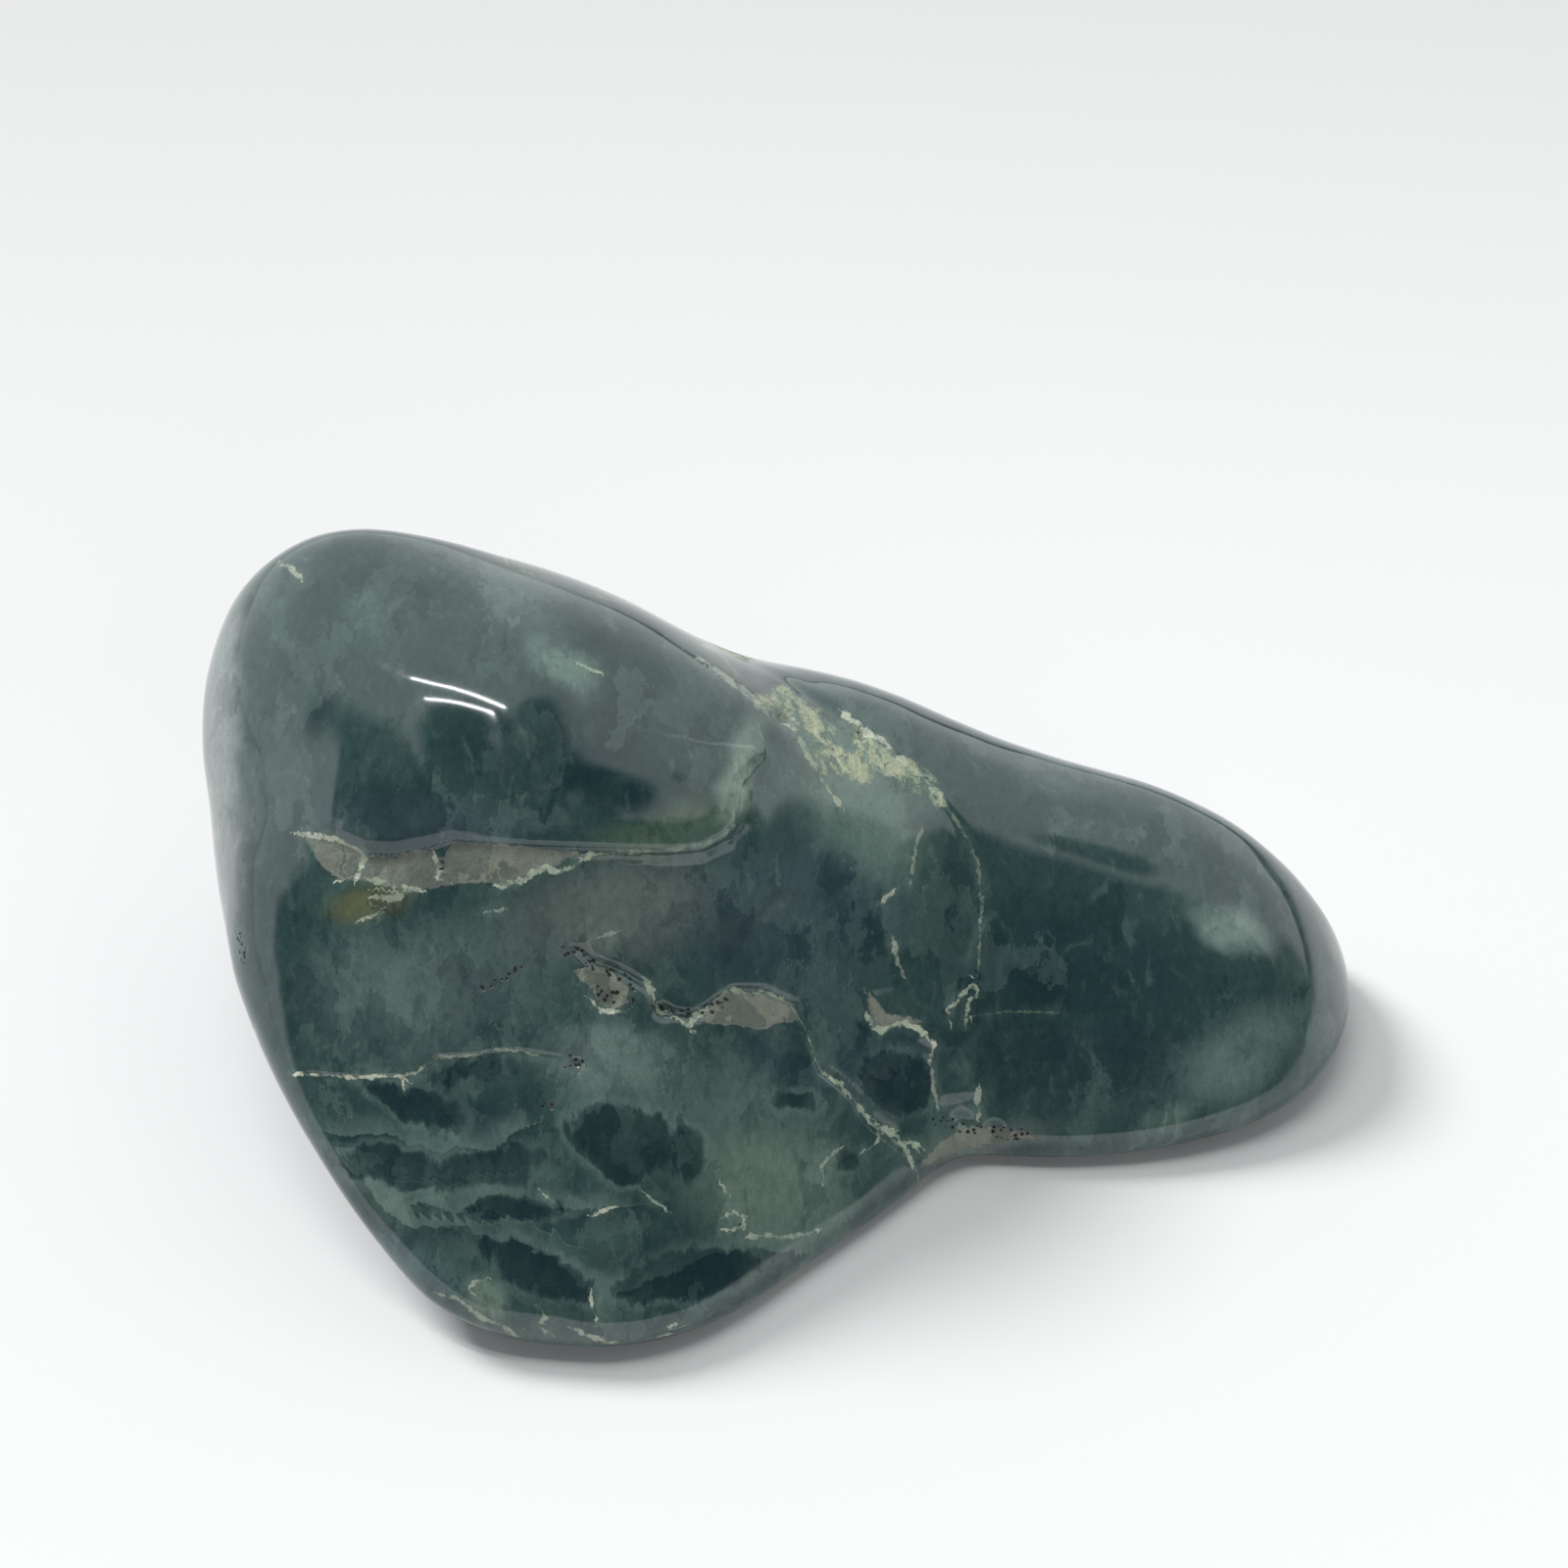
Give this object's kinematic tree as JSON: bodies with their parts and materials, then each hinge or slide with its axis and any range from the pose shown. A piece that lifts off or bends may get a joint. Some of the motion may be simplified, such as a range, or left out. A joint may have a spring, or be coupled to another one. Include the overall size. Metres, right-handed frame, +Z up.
{
  "type": "polished jade boulder",
  "caption": "Tumbled and polished jade boulder: a broad ridged lobe and a tapering arm, with a low ledge, cracks and rind left in its hollows.",
  "frame": {"origin": "under the middle of the stone's bounding box, on the plane it lies on", "axes": "+Z up, +X along the longest side towards the tip of the arm, +Y away from the ledge and the cracks"},
  "size_m": [0.142, 0.0884, 0.0656],
  "materials": {
    "jade": "polished blue-green jade with paler veins, and rough cream rind in the hollows"
  },
  "bodies": {
    "root": {"jade_boulder": "jade"}
  },
  "joints": []
}
